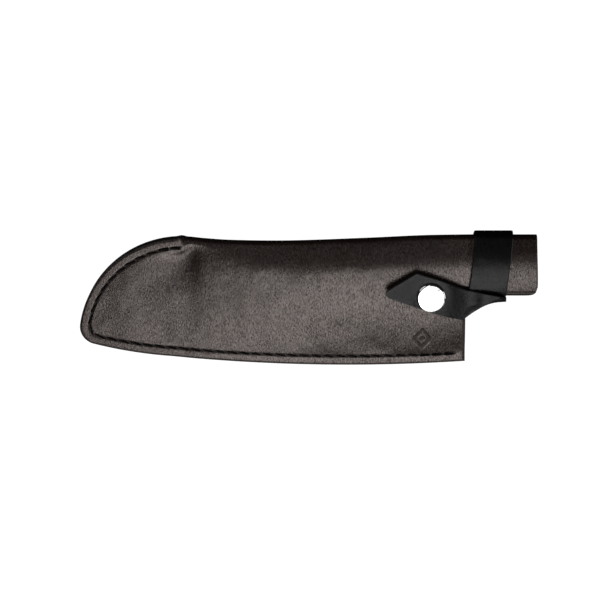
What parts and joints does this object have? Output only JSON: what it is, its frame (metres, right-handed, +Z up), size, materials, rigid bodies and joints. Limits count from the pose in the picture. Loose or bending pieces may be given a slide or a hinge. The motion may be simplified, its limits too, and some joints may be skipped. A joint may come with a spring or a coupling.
{
  "type": "leather knife sheath",
  "caption": "Folded leather sheath for a broad kitchen blade, stitched round the tip and belly, with a handle collar and a wrapped strap that snaps shut.",
  "frame": {"origin": "middle of the footprint, on the surface that the sheath lies on", "axes": "+X from the blunt tip to the open end of the collar, +Y towards the folded spine, +Z up out of the front panel"},
  "size_m": [0.2376, 0.0726, 0.0205],
  "materials": {
    "brown_leather": "satin",
    "welt_leather": "satin",
    "black_leather": "satin",
    "seam_thread": "matte",
    "polished_metal": "polished",
    "plain_metal": "satin"
  },
  "bodies": {
    "sheath": {"sheath_body": "brown_leather", "welt": "welt_leather", "needle_thread": "seam_thread", "bobbin_thread": "seam_thread", "anchor_thread": "seam_thread", "strap_wrap": "black_leather", "strap_fold": "black_leather", "snap_stud": "plain_metal", "snap_post": "plain_metal"},
    "tab": {"strap_tab": "black_leather", "snap_cap": "polished_metal", "snap_socket": "plain_metal", "snap_spring": "plain_metal"}
  },
  "joints": [
    {"name": "tab_hinge", "type": "hinge", "parent": "sheath", "child": "tab", "pos_m": [0.079, -0.00175, 0.0177], "axis": [0.3389, 0.9408, 0], "range_deg": [0, 140], "deforming": ["strap_fold"]}
  ]
}
